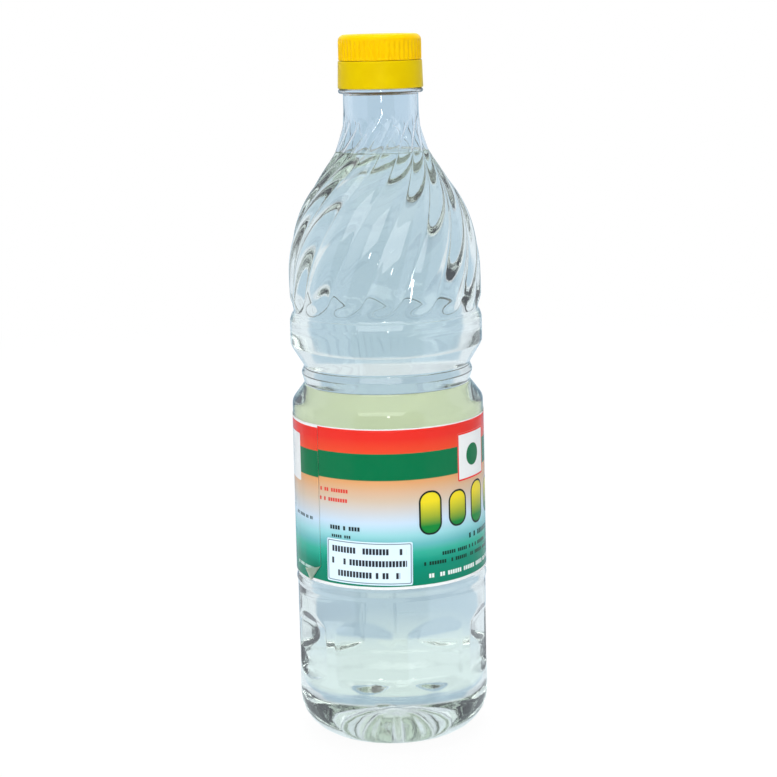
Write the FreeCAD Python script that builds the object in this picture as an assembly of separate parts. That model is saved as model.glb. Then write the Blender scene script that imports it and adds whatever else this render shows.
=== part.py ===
import FreeCAD, Part

import math
import os

from FreeCAD import Vector

# One-litre drink bottle in clear PET with a screw cap, in millimetres.
# The origin is the centre of the foot, +Z is up and the front faces -Y.
# Turns are degrees round the axis from the front, positive towards +X.

# Body and foot
body_radius = 38.95
wall = 0.4
heel_relief = 0.15
heel_corner_radius = 15.2
heel_height = 25.0
heel_step_height = 0.9
standing_width = 3.4
standing_fillet = 1.2
push_up_height = 9.0
push_up_knee_radius = 9.0
push_up_knee_height = 7.6
push_up_fillet = 6.0

# Star of grooves moulded across the foot
star_groove_radius = 2.2
star_inner_radius = 7.0
star_inner_height = 6.2
star_overrun = 7.6
star_outer_height = -2.2

# Flat grip windows round the lower body, between upright pillars
windows = 8
window_turn = 27.0
window_width = 24.0
window_bottom = 29.4
window_height = 19.6
window_depth = 2.3
window_sill_rise = 4.0
window_arch_rise = 5.4

# Bead under the label, and the label's seat
bead_height = 66.2
bead_half_width = 0.9
bead_relief = 0.35
label_gap = 2.0
label_height = 65.2

# Waist: two grooves with a small rib between them
waist_above_label = 5.6
waist_groove_depth = 5.3
waist_rib_depth = 4.1
waist_lower_flank = 7.0
waist_lower_groove_to_rib = 4.4
waist_rib_to_upper_groove = 2.8
waist_upper_flank = 8.7
waist_edge_fillet = 4.5
waist_groove_fillet = 1.7
waist_rib_fillet = 1.4

# Plain band above the waist, and the ledge that the flutes rise from
band_height = 10.8
band_fillet = 1.0
ledge_rise = 1.6
ledge_depth = 0.7

# Fluted shoulder: a convex arc, a cone and a concave arc into the neck
shoulder_depth = 0.15
shoulder_plain_height = 16.4
shoulder_arc_radius = 60.8
shoulder_cone_angle = 35.0
neck_arc_radius = 39.0
flutes = 16
flute_relief = 1.3
flute_start_turn = 4.5
flute_helix_low = 20.0
flute_helix_high = 34.0
flute_run_in = 9.0
flute_run_out = 9.0
flute_top_margin = 1.5
flute_run_in_sections = 4
flute_sections = 16
flute_points = 7

# Neck, support ring, and the finish that the cap screws onto
finish_radius = 14.6
finish_wall = 1.9
neck_relief = 0.4
neck_height = 5.9
ring_relief = 2.3
ring_height = 1.8
ring_fillet = 0.5
finish_height = 19.6
finish_fillet = 0.5
bore_taper_height = 3.5
bore_overlap = 0.5
tamper_bead_relief = 0.9
tamper_bead_height = 1.6
tamper_bead_lift = 4.0

# Drink, filled up to its level in the shoulder
drink_clearance = 0.05
fill_above_ledge = 64.5

# Cap and tamper band
tamper_band_height = 10.8
tamper_band_step = 0.3
tamper_band_flare = 0.2
tamper_band_wall = 1.2
tamper_band_fillet = 0.4
tamper_band_gap = 0.15
cap_wall = 1.7
cap_top = 1.6
cap_edge_fillet = 2.6
cap_clearance = 0.25
cap_ribs = 48
cap_groove_radius = 0.8
cap_groove_depth = 0.35
plug_depth = 3.0
plug_wall = 0.9
plug_clearance = 0.1

# Wrap label with its lapped end, and the sticker on it
label_thickness = 0.12
label_clearance = 0.1
label_flare = 0.25
lap_turn = -46.0
lap_width = 9.0
sticker_turn = -14.0
sticker_width = 36.3
sticker_height = 17.6
sticker_lift = 2.0
sticker_thickness = 0.12
sticker_clearance = 0.08

# Heights that follow from the sizes above
label_bottom = bead_height + bead_half_width + label_gap
label_top = label_bottom + label_height
waist_bottom = label_top + waist_above_label
lower_groove_height = waist_bottom + waist_lower_flank
rib_height = lower_groove_height + waist_lower_groove_to_rib
upper_groove_height = rib_height + waist_rib_to_upper_groove
band_bottom = upper_groove_height + waist_upper_flank
band_top = band_bottom + band_height
ledge_height = band_top + ledge_rise
drink_level = ledge_height + fill_above_ledge

# Radii that follow from the finish
bore_radius = finish_radius - finish_wall
neck_radius = finish_radius + neck_relief
ring_radius = finish_radius + ring_relief
cap_radius = finish_radius + cap_clearance + cap_wall
tamper_band_top_radius = cap_radius + tamper_band_step
tamper_band_bottom_radius = tamper_band_top_radius + tamper_band_flare

# The shoulder's arcs and cone, each tangent to the next
cone_angle = math.radians(shoulder_cone_angle)
shoulder_radius = body_radius - shoulder_depth
arc_bottom = ledge_height + shoulder_plain_height
cone_bottom = arc_bottom + shoulder_arc_radius * math.sin(cone_angle)
cone_bottom_radius = shoulder_radius - shoulder_arc_radius * (1.0 - math.cos(cone_angle))
cone_top_radius = neck_radius + neck_arc_radius * (1.0 - math.cos(cone_angle))
cone_top = cone_bottom + (cone_bottom_radius - cone_top_radius) / math.tan(cone_angle)
neck_bottom = cone_top + neck_arc_radius * math.sin(cone_angle)

ring_bottom = neck_bottom + neck_height
ring_top = ring_bottom + ring_height
ring_middle = ring_bottom + ring_height / 2.0
rim_height = ring_top + finish_height
tamper_band_bottom = ring_top + tamper_band_gap
tamper_band_top = tamper_band_bottom + tamper_band_height
cap_bottom = tamper_band_top + tamper_band_gap
cap_height = rim_height + cap_top - cap_bottom
flute_top = neck_bottom - flute_top_margin


def around(radius, turn, height):
    """Point at a radius, a turn in degrees from the front, and a height."""
    angle = math.radians(turn)
    return Vector(radius * math.sin(angle), -radius * math.cos(angle), height)


def smooth_step(share):
    """Rise from 0 to 1 with level ends."""
    share = min(max(share, 0.0), 1.0)
    return share * share * (3.0 - 2.0 * share)


def offset_corners(corners, inset):
    """Move an outline inwards by an inset, mitring its corners.

    A corner is (radius, height, fillet). The outline starts and ends on the axis and
    keeps the solid on its left, so outer fillets shrink and inner fillets grow.
    """
    lines = []
    for (r0, z0, _), (r1, z1, _) in zip(corners, corners[1:]):
        length = math.hypot(r1 - r0, z1 - z0)
        along = ((r1 - r0) / length, (z1 - z0) / length)
        lines.append(((r0 - along[1] * inset, z0 + along[0] * inset), along))
    first = lines[0]
    last = lines[-1]
    moved = [(0.0, first[0][1] - first[1][1] / first[1][0] * first[0][0], 0.0)]
    for before, after, corner in zip(lines, lines[1:], corners[1:-1]):
        (p, d), (q, e) = before, after
        turn = d[0] * e[1] - d[1] * e[0]
        reach = ((q[0] - p[0]) * e[1] - (q[1] - p[1]) * e[0]) / turn
        fillet = corner[2]
        if fillet > 0.0:
            fillet = max(fillet - math.copysign(inset, turn), 0.0)
        moved.append((p[0] + d[0] * reach, p[1] + d[1] * reach, fillet))
    moved.append((0.0, last[0][1] - last[1][1] / last[1][0] * last[0][0], 0.0))
    return moved


def outline_edges(corners):
    """Straight lines through the corners, with a tangent arc at each fillet."""
    points = [Vector(r, 0.0, z) for r, z, _ in corners]
    edges = []
    start = points[0]
    for before, here, after, corner in zip(points, points[1:], points[2:], corners[1:]):
        fillet = corner[2]
        if fillet > 0.0:
            back = (before - here).normalize()
            ahead = (after - here).normalize()
            half_angle = back.getAngle(ahead) / 2.0
            trim = fillet / math.tan(half_angle)
            bisector = (back + ahead).normalize()
            middle = here + bisector * (fillet / math.sin(half_angle) - fillet)
            edges.append(Part.makeLine(start, here + back * trim))
            edges.append(Part.Arc(here + back * trim, middle, here + ahead * trim).toShape())
            start = here + ahead * trim
        else:
            edges.append(Part.makeLine(start, here))
            start = here
    edges.append(Part.makeLine(start, points[-1]))
    return edges


def turned(corners):
    """Solid of revolution inside an outline that starts and ends on the axis."""
    edges = outline_edges(corners)
    top = Vector(0.0, 0.0, corners[-1][1])
    bottom = Vector(0.0, 0.0, corners[0][1])
    edges.append(Part.makeLine(top, bottom))
    face = Part.Face(Part.Wire(edges))
    return face.revolve(Vector(0, 0, 0), Vector(0, 0, 1), 360)


def turned_ring(corners, start_turn=0.0, sweep=360.0):
    """Ring, or part of one, whose section is a closed polygon of (radius, height)."""
    points = [Vector(r, 0.0, z) for r, z in corners]
    face = Part.Face(Part.makePolygon(points + points[:1]))
    ring = face.revolve(Vector(0, 0, 0), Vector(0, 0, 1), sweep)
    ring.rotate(Vector(0, 0, 0), Vector(0, 0, 1), start_turn - 90.0)
    return ring


def tube(inner_radius, outer_radius, bottom, height):
    """Plain round tube."""
    outer = Part.makeCylinder(outer_radius, height, Vector(0, 0, bottom))
    return outer.cut(Part.makeCylinder(inner_radius, height, Vector(0, 0, bottom)))


def repeated(shape, count, first_turn):
    """Copies of a shape built along +X, evenly round the axis from a first turn."""
    copies = []
    for index in range(count):
        copy = shape.copy()
        turn = first_turn + index * 360.0 / count - 90.0
        copy.rotate(Vector(0, 0, 0), Vector(0, 0, 1), turn)
        copies.append(copy)
    return copies


def body_form(inset):
    """Turned body from the foot to the ledge, moved inwards by an inset."""
    heel_radius = body_radius + heel_relief
    standing_radius = heel_radius - heel_corner_radius
    groove_radius = body_radius - waist_groove_depth
    corners = [
        (0.0, push_up_height, 0.0),
        (push_up_knee_radius, push_up_knee_height, push_up_fillet),
        (standing_radius - standing_width, 0.0, standing_fillet),
        (heel_radius, 0.0, heel_corner_radius),
        (heel_radius, heel_height, 0.0),
        (body_radius, heel_height + heel_step_height, 0.0),
        (body_radius, bead_height - bead_half_width, 0.0),
        (body_radius + bead_relief, bead_height, 0.0),
        (body_radius, bead_height + bead_half_width, 0.0),
        (body_radius, waist_bottom, waist_edge_fillet),
        (groove_radius, lower_groove_height, waist_groove_fillet),
        (body_radius - waist_rib_depth, rib_height, waist_rib_fillet),
        (groove_radius, upper_groove_height, waist_groove_fillet),
        (body_radius, band_bottom, waist_edge_fillet),
        (body_radius, band_top, band_fillet),
        (body_radius - ledge_depth, ledge_height, 0.0),
        (0.0, ledge_height, 0.0),
    ]
    return turned(offset_corners(corners, inset))


def shoulder_at(height):
    """Radius of the plain shoulder and neck at a height, and how fast it narrows."""
    if height <= arc_bottom:
        return shoulder_radius, 0.0
    if height <= cone_bottom:
        angle = math.asin((height - arc_bottom) / shoulder_arc_radius)
        return shoulder_radius - shoulder_arc_radius * (1.0 - math.cos(angle)), math.tan(angle)
    if height <= cone_top:
        slope = math.tan(cone_angle)
        return cone_bottom_radius - (height - cone_bottom) * slope, slope
    if height <= neck_bottom:
        angle = math.asin((neck_bottom - height) / neck_arc_radius)
        return neck_radius + neck_arc_radius * (1.0 - math.cos(angle)), math.tan(angle)
    return neck_radius, 0.0


def flute_heights():
    """Heights of the shoulder's sections: close together where the flutes begin."""
    heights = [ledge_height]
    for index in range(1, flute_run_in_sections):
        share = index / flute_run_in_sections
        heights.append(ledge_height + flute_run_in * share * share)
    run_in_top = ledge_height + flute_run_in
    for index in range(flute_sections):
        share = index / (flute_sections - 1)
        heights.append(run_in_top + (flute_top - run_in_top) * share)
    return heights + [neck_bottom, ring_bottom, ring_middle]


def flute_turns(heights):
    """Turn of the flutes at each height: the helix angle grows up the shoulder."""
    turns = [flute_start_turn]
    for low, high in zip(heights, heights[1:]):
        middle = (low + high) / 2.0
        radius, slope = shoulder_at(middle)
        share = (middle - ledge_height) / (flute_top - ledge_height)
        helix = math.radians(flute_helix_low + (flute_helix_high - flute_helix_low) * share)
        if middle > flute_top:
            helix = 0.0
        climb = (high - low) * math.hypot(1.0, slope)
        turns.append(turns[-1] + math.degrees(math.tan(helix) * climb / radius))
    return turns


def fluted_section(height, section_turn, radius, relief, swell):
    """Closed section of convex lobes that meet in creases."""
    pitch = 360.0 / flutes
    shares = [index / (flute_points - 1) for index in range(flute_points)]
    edges = []
    for flute in range(flutes):
        points = []
        for share in shares:
            lobe = 1.0 - (2.0 * share - 1.0) ** 2
            turn = section_turn + pitch * (flute + share)
            points.append(around(radius - relief + swell * lobe, turn, height))
        curve = Part.BSplineCurve()
        curve.interpolate(Points=points, Parameters=shares)
        edges.append(curve.toShape())
    return Part.Wire(edges)


def shoulder_form(inset, neck_inset):
    """Fluted shoulder and neck, lofted up to the middle of the support ring.

    The inset grows to the neck's own inset under the support ring. At the ledge the
    lobes fade away as rounded tongues, and towards the neck their grooves fade out.
    """
    heights = flute_heights()
    turns = flute_turns(heights)
    sections = []
    for height, turn in zip(heights, turns):
        radius, slope = shoulder_at(height)
        fade_in = math.sin(math.pi / 2.0 * min((height - ledge_height) / flute_run_in, 1.0))
        fade_out = smooth_step((flute_top - height) / flute_run_out)
        thicken = max((height - ring_bottom) / bore_taper_height + 1.0, 0.0)
        depth = (inset + (neck_inset - inset) * thicken) * math.hypot(1.0, slope)
        relief = flute_relief * fade_out
        level = height - inset if height == ledge_height else height
        sections.append(fluted_section(level, turn, radius - depth, relief, relief * fade_in))
    return Part.makeLoft(sections, True)


def window_cutters(inset):
    """Blocks that cut the flat grip windows, with sloping sills and heads."""
    floor = body_radius - window_depth - inset
    outside = body_radius + heel_relief + window_depth
    reach = (outside - floor) / window_depth
    sill_slope = window_sill_rise / window_depth
    head_slope = window_arch_rise / window_depth
    bottom = window_bottom - inset * (math.hypot(1.0, sill_slope) - sill_slope)
    top = window_bottom + window_height + inset * (math.hypot(1.0, head_slope) - head_slope)
    corners = [
        (floor, bottom),
        (outside, bottom - window_sill_rise * reach),
        (outside, top + window_arch_rise * reach),
        (floor, top),
    ]
    half_width = window_width / 2.0 + inset
    points = [Vector(r, -half_width, z) for r, z in corners]
    face = Part.Face(Part.makePolygon(points + points[:1]))
    block = face.extrude(Vector(0.0, 2.0 * half_width, 0.0))
    return repeated(block, windows, window_turn)


def star_cutters(inset):
    """Round bars that cut the grooves across the foot, in line with the pillars."""
    outer_radius = body_radius + heel_relief - heel_corner_radius + star_overrun
    start = Vector(star_inner_radius, 0.0, star_inner_height)
    end = Vector(outer_radius, 0.0, star_outer_height)
    radius = star_groove_radius + inset
    bar = Part.makeCylinder(radius, start.distanceToPoint(end), start, end - start)
    bar = bar.fuse(Part.makeSphere(radius, start)).fuse(Part.makeSphere(radius, end))
    return repeated(bar, windows, window_turn + 180.0 / windows)


def vessel_form(inset, neck_inset):
    """The bottle's outside below the support ring, moved inwards by an inset."""
    form = body_form(inset).fuse(shoulder_form(inset, neck_inset))
    return form.cut(window_cutters(inset) + star_cutters(inset))


def finish_form():
    """Support ring, plain finish and tamper bead, as one turned solid."""
    bead_bottom = ring_top + tamper_bead_lift
    bead_top = bead_bottom + tamper_bead_height
    bead_radius = finish_radius + tamper_bead_relief
    return turned([
        (0.0, ring_bottom, 0.0),
        (ring_radius, ring_bottom, ring_fillet),
        (ring_radius, ring_top, ring_fillet),
        (finish_radius, ring_top, 0.0),
        (finish_radius, bead_bottom, 0.0),
        (bead_radius, bead_bottom, 0.0),
        (finish_radius, bead_top, 0.0),
        (finish_radius, rim_height, finish_fillet),
        (0.0, rim_height, 0.0),
    ])


def make_bottle():
    """Hollow shell with the neck open at the rim."""
    outside = vessel_form(0.0, 0.0).fuse(finish_form())
    bore_bottom = ring_bottom - bore_overlap
    bore = Part.makeCylinder(bore_radius, rim_height - bore_bottom, Vector(0.0, 0.0, bore_bottom))
    cavity = vessel_form(wall, neck_radius - bore_radius).fuse(bore)
    return outside.cut(cavity)


def make_drink():
    """Drink that fills the shell up to its level."""
    inset = wall + drink_clearance
    whole = vessel_form(inset, neck_radius - bore_radius + drink_clearance)
    above = Part.makeCylinder(body_radius, rim_height, Vector(0.0, 0.0, drink_level))
    return whole.cut(above)


def make_cap():
    """Ribbed cap with a plug that seals the bore."""
    cap_end = cap_bottom + cap_height
    shell = turned([
        (0.0, cap_bottom, 0.0),
        (cap_radius, cap_bottom, 0.0),
        (cap_radius, cap_end, cap_edge_fillet),
        (0.0, cap_end, 0.0),
    ])
    inside = Part.makeCylinder(
        finish_radius + cap_clearance, rim_height - cap_bottom, Vector(0.0, 0.0, cap_bottom))
    plug_radius = bore_radius - plug_clearance
    plug = tube(plug_radius - plug_wall, plug_radius, rim_height - plug_depth, plug_depth)
    groove_middle = cap_radius + cap_groove_radius - cap_groove_depth
    groove = Part.makeCylinder(
        cap_groove_radius, cap_height, Vector(groove_middle, 0.0, cap_bottom))
    return shell.cut(inside).cut(repeated(groove, cap_ribs, 0.0)).fuse(plug)


def make_tamper_band():
    """Plain tapered band under the cap."""
    inner_top = tamper_band_top_radius - tamper_band_wall
    inner_bottom = tamper_band_bottom_radius - tamper_band_wall
    return turned_ring([
        (inner_bottom, tamper_band_bottom),
        (tamper_band_bottom_radius, tamper_band_bottom),
        (tamper_band_top_radius, tamper_band_top - tamper_band_fillet),
        (tamper_band_top_radius - tamper_band_fillet, tamper_band_top),
        (inner_top, tamper_band_top),
    ])


def label_radius(height):
    """Inner radius of the label, which stands off a little towards its lower edge."""
    share = (label_top - height) / label_height
    return body_radius + label_clearance + label_flare * share


def wrap(bottom, top, lift, thickness, start_turn, sweep):
    """Thin sheet bent round the body on the label's taper."""
    low = label_radius(bottom) + lift
    high = label_radius(top) + lift
    corners = [(low, bottom), (low + thickness, bottom), (high + thickness, top), (high, top)]
    return turned_ring(corners, start_turn, sweep)


def make_label():
    """Label all round the body, whose free end laps over its start."""
    lap_sweep = math.degrees(lap_width / body_radius)
    sheet = wrap(label_bottom, label_top, 0.0, label_thickness, lap_turn, 360.0)
    lap = wrap(label_bottom, label_top, label_thickness, label_thickness,
               lap_turn - lap_sweep, lap_sweep)
    return sheet.fuse(lap)


def make_sticker():
    """Small sticker on the front of the label."""
    sweep = math.degrees(sticker_width / body_radius)
    bottom = label_bottom + sticker_lift
    lift = label_thickness + sticker_clearance
    return wrap(bottom, bottom + sticker_height, lift, sticker_thickness,
                sticker_turn - sweep / 2.0, sweep)


os.makedirs("parts", exist_ok=True)
pieces = {
    "bottle": make_bottle(),
    "drink": make_drink(),
    "cap": make_cap(),
    "tamper_band": make_tamper_band(),
    "label": make_label(),
    "sticker": make_sticker(),
}
for name, solid in pieces.items():
    solid.exportStep("parts/" + name + ".step")
    print(name, len(solid.Solids), "solid", round(solid.Volume / 1000.0, 2), "ml, valid", solid.isValid())
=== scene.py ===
import bpy
import numpy as np
from mathutils import Matrix, Vector


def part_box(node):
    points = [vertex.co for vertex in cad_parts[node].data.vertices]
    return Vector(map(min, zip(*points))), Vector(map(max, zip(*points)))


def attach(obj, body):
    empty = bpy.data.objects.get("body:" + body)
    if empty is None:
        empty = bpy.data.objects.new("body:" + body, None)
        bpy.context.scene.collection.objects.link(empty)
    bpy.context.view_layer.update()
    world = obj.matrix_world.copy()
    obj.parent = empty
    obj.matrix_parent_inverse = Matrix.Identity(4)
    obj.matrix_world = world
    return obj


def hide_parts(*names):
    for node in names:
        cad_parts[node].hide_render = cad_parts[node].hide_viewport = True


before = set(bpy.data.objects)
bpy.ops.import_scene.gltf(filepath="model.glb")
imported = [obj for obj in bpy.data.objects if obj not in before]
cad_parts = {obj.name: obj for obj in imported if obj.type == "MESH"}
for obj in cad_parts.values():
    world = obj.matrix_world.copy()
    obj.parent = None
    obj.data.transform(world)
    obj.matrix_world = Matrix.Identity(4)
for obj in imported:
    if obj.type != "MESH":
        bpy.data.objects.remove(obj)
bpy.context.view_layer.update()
scene = bpy.context.scene
mm = 0.001  # shapes are worked out in millimetres and written to the meshes in metres


def boxOf(node):
    # lowest and highest corner of a solid, in millimetres
    low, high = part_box(node)
    return np.array(low) / mm, np.array(high) / mm


labelLow, labelHigh = boxOf("label")
stickerLow, stickerHigh = boxOf("sticker")
capLow, capHigh = boxOf("cap")
bandLow, bandHigh = boxOf("tamper_band")
drinkLevel = boxOf("drink")[1][2]
rim = boxOf("bottle")[1][2]
labelHeight = labelHigh[2] - labelLow[2]


def smooth(share):
    # 3s^2 - 2s^3: from 0 to 1 with level ends
    share = np.clip(share, 0.0, 1.0)
    return share * share * (3.0 - 2.0 * share)


def smoothMin(a, b, reach):
    # the smaller of two values, with their crossing rounded over a reach
    share = np.clip(0.5 + 0.5 * (b - a) / reach, 0.0, 1.0)
    return b + (a - b) * share - reach * share * (1.0 - share)


def smoothMax(a, b, reach):
    return -smoothMin(-a, -b, reach)


def unit(vectors):
    # the same directions, each of length one
    return vectors / np.maximum(np.linalg.norm(vectors, axis=-1, keepdims=True), 1e-12)


def outline(corners, arcDegrees=13.0):
    # straight runs between corners (radius, height, fillet, steps in the run before it),
    # with a tangent arc in each fillet: centre + fillet * (cos, sin) between its two ends
    places = np.array([corner[:2] for corner in corners], float)
    found = [places[:1]]
    start = places[0]
    for index in range(1, len(corners)):
        here, fillet, steps = places[index], corners[index][2], corners[index][3]
        if fillet > 0.0:
            back = unit(places[index - 1] - here)
            ahead = unit(places[index + 1] - here)
            half = np.arccos(np.clip(back @ ahead, -1.0, 1.0)) / 2.0
            centre = here + unit(back + ahead) * fillet / np.sin(half)
            first = here + back * fillet / np.tan(half)
            last = here + ahead * fillet / np.tan(half)
            fromAngle = np.arctan2(*(first - centre)[::-1])
            toAngle = np.arctan2(*(last - centre)[::-1])
            sweep = (toAngle - fromAngle + np.pi) % (2.0 * np.pi) - np.pi
            count = max(int(np.ceil(abs(np.degrees(sweep)) / arcDegrees)), 2)
            angles = fromAngle + sweep * np.linspace(0.0, 1.0, count + 1)
            arc = centre + fillet * np.stack([np.cos(angles), np.sin(angles)], 1)
        else:
            arc = here[None]
        run = start + (arc[0] - start) * np.linspace(0.0, 1.0, steps + 1)[1:-1, None]
        found += [run, arc]
        start = arc[-1]
    found = np.concatenate(found)
    apart = np.append(True, np.hypot(*np.diff(found, axis=0).T) > 1e-4)
    return found[apart, 0], found[apart, 1]


def turnedPoint(radius, turn, height):
    # point at a radius and height, turned in degrees from the front towards +X
    angle = np.radians(turn)
    return np.stack(np.broadcast_arrays(radius * np.sin(angle), -radius * np.cos(angle), height), -1)


def outwards(surface):
    # unit normal of a closed-round grid: its step round crossed with its step up
    up = np.gradient(surface, axis=0)
    along = np.roll(surface, -1, axis=1) - np.roll(surface, 1, axis=1)
    return unit(np.cross(along, up))


def ringQuads(rows, columns, closedUp=False):
    # faces of a grid that closes round its columns, and with closedUp its rows too
    low = np.arange(rows if closedUp else rows - 1)[:, None] * columns
    high = (low + columns) % (rows * columns)
    here = np.arange(columns)
    after = np.roll(here, -1)
    return np.stack([low + here, low + after, high + after, high + here], -1).reshape(-1, 4)


def poleFan(pole, first, columns, inwards):
    # triangles from one point to a ring of the grid
    here = first + np.arange(columns)
    after = np.roll(here, -1)
    pair = [after, here] if inwards else [here, after]
    return np.stack([np.full(columns, pole), *pair], -1)


def closedRound(rows, firstPole, lastPole):
    # points and faces of a grid that closes round, with a pole below its first row and one
    # past its last
    count, columns = rows.shape[:2]
    total = count * columns
    points = np.concatenate([rows.reshape(-1, 3), [firstPole], [lastPole]])
    return points, [ringQuads(count, columns), poleFan(total, 0, columns, True),
                    poleFan(total + 1, total - columns, columns, False)]


def filmBetween(outer, inner):
    # points and faces of a thin film: its outer grid, its inner grid turned back under it,
    # and a strip along each of the edges left open
    rows, columns = outer.shape[:2]
    last = 2 * rows - 1
    low = np.arange(last)[:, None] * columns
    here = np.arange(columns - 1)
    sheet = np.stack([low + here, low + here + 1, low + columns + here + 1, low + columns + here], -1)
    seam = np.stack([last * columns + here, last * columns + here + 1, here + 1, here], -1)
    order = np.arange(rows)
    lowEnd = np.stack([order[:-1], order[1:], last - order[1:], last - order[:-1]], -1) * columns
    highEnd = lowEnd[:, ::-1] + columns - 1
    points = np.concatenate([outer, inner[::-1]]).reshape(-1, 3)
    return points, [sheet.reshape(-1, 4), seam, lowEnd, highEnd]


def makePiece(name, shape, materials, node, marks=None, painted=None):
    # puts points and faces into a mesh; marks are numbers kept at each point, and painted
    # gives each face the place of its material in the list
    points, faceSets = shape
    mesh = bpy.data.meshes.new(name)
    corners = np.concatenate([faces.ravel() for faces in faceSets]).astype(np.int32)
    sizes = np.concatenate([np.full(len(faces), faces.shape[1]) for faces in faceSets])
    mesh.vertices.add(len(points))
    mesh.vertices.foreach_set("co", (points * mm).astype(np.float32).ravel())
    mesh.loops.add(len(corners))
    mesh.loops.foreach_set("vertex_index", corners)
    mesh.polygons.add(len(sizes))
    mesh.polygons.foreach_set("loop_start", (np.cumsum(sizes) - sizes).astype(np.int32))
    mesh.polygons.foreach_set("use_smooth", np.ones(len(sizes), bool))
    for mark, values in (marks or {}).items():
        layer = mesh.attributes.new(mark, "FLOAT", "POINT")
        layer.data.foreach_set("value", np.ascontiguousarray(values, np.float32).ravel())
    mesh.update(calc_edges=True)
    mesh.validate()
    for material in materials:
        mesh.materials.append(material)
    if painted is not None:
        mesh.polygons.foreach_set("material_index", painted.astype(np.int32))
    piece = bpy.data.objects.new(name, mesh)
    scene.collection.objects.link(piece)
    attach(piece, "root")
    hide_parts(node)
    print("made", name, "with", len(sizes), "faces")


def paint(red, green, blue):
    # a colour as a screen shows it, 0 to 255, turned into light
    share = np.array([red, green, blue]) / 255.0
    light = np.where(share <= 0.04045, share / 12.92, ((share + 0.055) / 1.055) ** 2.4)
    return (*map(float, light), 1.0)


class Value:
    # one socket of a node tree; sums on it add Math nodes
    def __init__(self, tree, socket=None):
        self.tree = tree
        self.socket = socket

    def node(self, kind, settings=None, values=None, out=0):
        # adds a node: its settings first, then values or links for its sockets
        made = self.tree.nodes.new(kind)
        for key, value in (settings or {}).items():
            if key == "stops":
                ramp = made.color_ramp
                for place, _ in value[2:]:
                    ramp.elements.new(place)
                for element, (place, colour) in zip(ramp.elements, value):
                    element.position = place
                    element.color = colour
            else:
                setattr(made, key, value)
        for key, value in (values or {}).items():
            if isinstance(value, Value):
                self.tree.links.new(value.socket, made.inputs[key])
            else:
                made.inputs[key].default_value = value
        return Value(self.tree, made.outputs[out] if made.outputs else None)

    def sum(self, operation, *others):
        return self.node("ShaderNodeMath", {"operation": operation}, dict(enumerate([self, *others])))

    def __add__(self, other):
        return self.sum("ADD", other)

    def __sub__(self, other):
        return self.sum("SUBTRACT", other)

    def __mul__(self, other):
        return self.sum("MULTIPLY", other)

    def __truediv__(self, other):
        return self.sum("DIVIDE", other)

    def __rsub__(self, other):
        return self.node("ShaderNodeMath", {"operation": "SUBTRACT"}, {0: other, 1: self})

    __radd__ = __add__
    __rmul__ = __mul__

    def climb(self, low, high):
        # straight from 0 at the low value to 1 at the high one
        return self.node("ShaderNodeMapRange", None, {"Value": self, "From Min": low, "From Max": high})

    def over(self, edge, soft):
        # 0 below an edge and 1 above it, with a soft step between
        return self.node("ShaderNodeMapRange", {"interpolation_type": "SMOOTHSTEP"},
                         {"Value": self, "From Min": edge - soft, "From Max": edge + soft})

    def under(self, edge, soft):
        return 1.0 - self.over(edge, soft)

    def within(self, low, high, soft):
        return self.over(low, soft) * self.under(high, soft)


def newMaterial(name):
    # an empty material and its bare tree
    material = bpy.data.materials.new(name)
    material.use_nodes = True
    material.node_tree.nodes.clear()
    return material, Value(material.node_tree)


def finish(tree, shader):
    tree.node("ShaderNodeOutputMaterial", None, {"Surface": shader})


def principled(tree, values):
    return tree.node("ShaderNodeBsdfPrincipled", None, values)


def mixedShader(share, first, second):
    return first.node("ShaderNodeMixShader", None, {0: share, 1: first, 2: second})


def mixed(mask, under, over):
    # one colour laid over another by a mask
    return mask.node("ShaderNodeMix", {"data_type": "RGBA"}, {0: mask, 6: under, 7: over}, 2)


def attribute(tree, name):
    # a mark of the mesh
    return tree.node("ShaderNodeAttribute", {"attribute_name": name}, out="Fac")


def noise(tree, size, detail=2.0, stretch=(1.0, 1.0, 1.0)):
    # soft noise whose blobs are about size millimetres across
    place = tree.node("ShaderNodeTexCoord", out="Object")
    place = tree.node("ShaderNodeMapping", None, {"Vector": place, "Scale": stretch})
    return tree.node("ShaderNodeTexNoise", None,
                     {"Vector": place, "Scale": 1.0 / (size * mm), "Detail": detail})


def bumped(height, strength, depth):
    # the normal over bumps of a depth in millimetres
    return height.node("ShaderNodeBump", None,
                       {"Height": height, "Strength": strength, "Distance": depth * mm})


plasticLook = {
    "tint": (0.985, 0.992, 0.997, 1.0),
    "deepTint": (0.975, 0.986, 0.994, 1.0),
    "cloudSize": 24.0,
    "ior": 1.57,
    "roughness": 0.01,
    "roughnessSpread": 0.01,
    "ripple": 0.35,
    "rippleSize": 10.0,
    "rippleStretch": (1.0, 1.0, 0.6),
    "rippleDepth": 0.6,
}


def clearPlastic():
    # clear moulded plastic with the slight ripple of a blown wall
    look = plasticLook
    material, tree = newMaterial("clearPlastic")
    cloud = noise(tree, look["cloudSize"])
    ripple = noise(tree, look["rippleSize"], 1.0, look["rippleStretch"])
    finish(tree, principled(tree, {
        "Base Color": mixed(cloud, look["tint"], look["deepTint"]),
        "Roughness": cloud * look["roughnessSpread"] + look["roughness"],
        "IOR": look["ior"], "Transmission Weight": 1.0,
        "Normal": bumped(ripple, look["ripple"], look["rippleDepth"])}))
    return material


drinkLook = {
    "clear": (0.995, 0.997, 0.994, 1.0),
    "cast": (0.99, 0.994, 0.985, 1.0),
    "cloudSize": 60.0,
    "ior": 1.34,
    "absorbs": (0.79, 0.85, 0.72, 1.0),
    "density": 5.0,
}


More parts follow.
